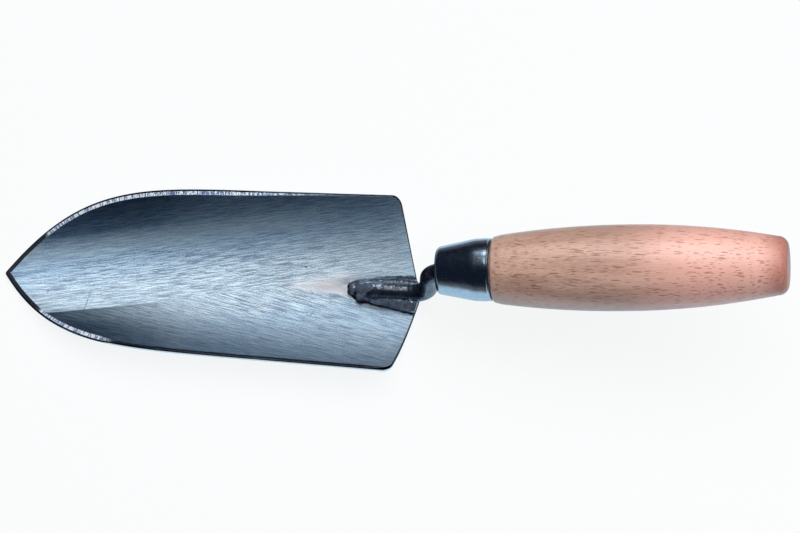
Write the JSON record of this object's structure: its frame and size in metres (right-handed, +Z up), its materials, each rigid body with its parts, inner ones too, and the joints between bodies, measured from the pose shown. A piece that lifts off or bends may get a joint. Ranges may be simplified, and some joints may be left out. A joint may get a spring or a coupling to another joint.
{
  "type": "garden trowel",
  "caption": "Hand trowel: a rolled and ground steel blade with a pointed front, a welded swan-neck rod, a plated ferrule and a turned beech handle.",
  "frame": {"origin": "middle of the bounding box in plan, at the ground that the back of the blade rests on", "axes": "+X runs from the point of the blade to the butt of the handle, +Z is up out of the open scoop, +Y is to the left of a view from the point along +X"},
  "size_m": [0.3094, 0.077, 0.0652],
  "materials": {
    "ground_steel": "coarsely ground, grinding lines along the blade",
    "dark_steel": "forged, dark and clear lacquered",
    "weld_metal": "as laid, dark and lumpy",
    "plated_steel": "bright plated",
    "beech": "turned and clear lacquered"
  },
  "bodies": {
    "root": {"blade": "ground_steel", "tang": "dark_steel", "weld_bead": "weld_metal", "ferrule": "plated_steel", "handle": "beech"}
  },
  "joints": []
}
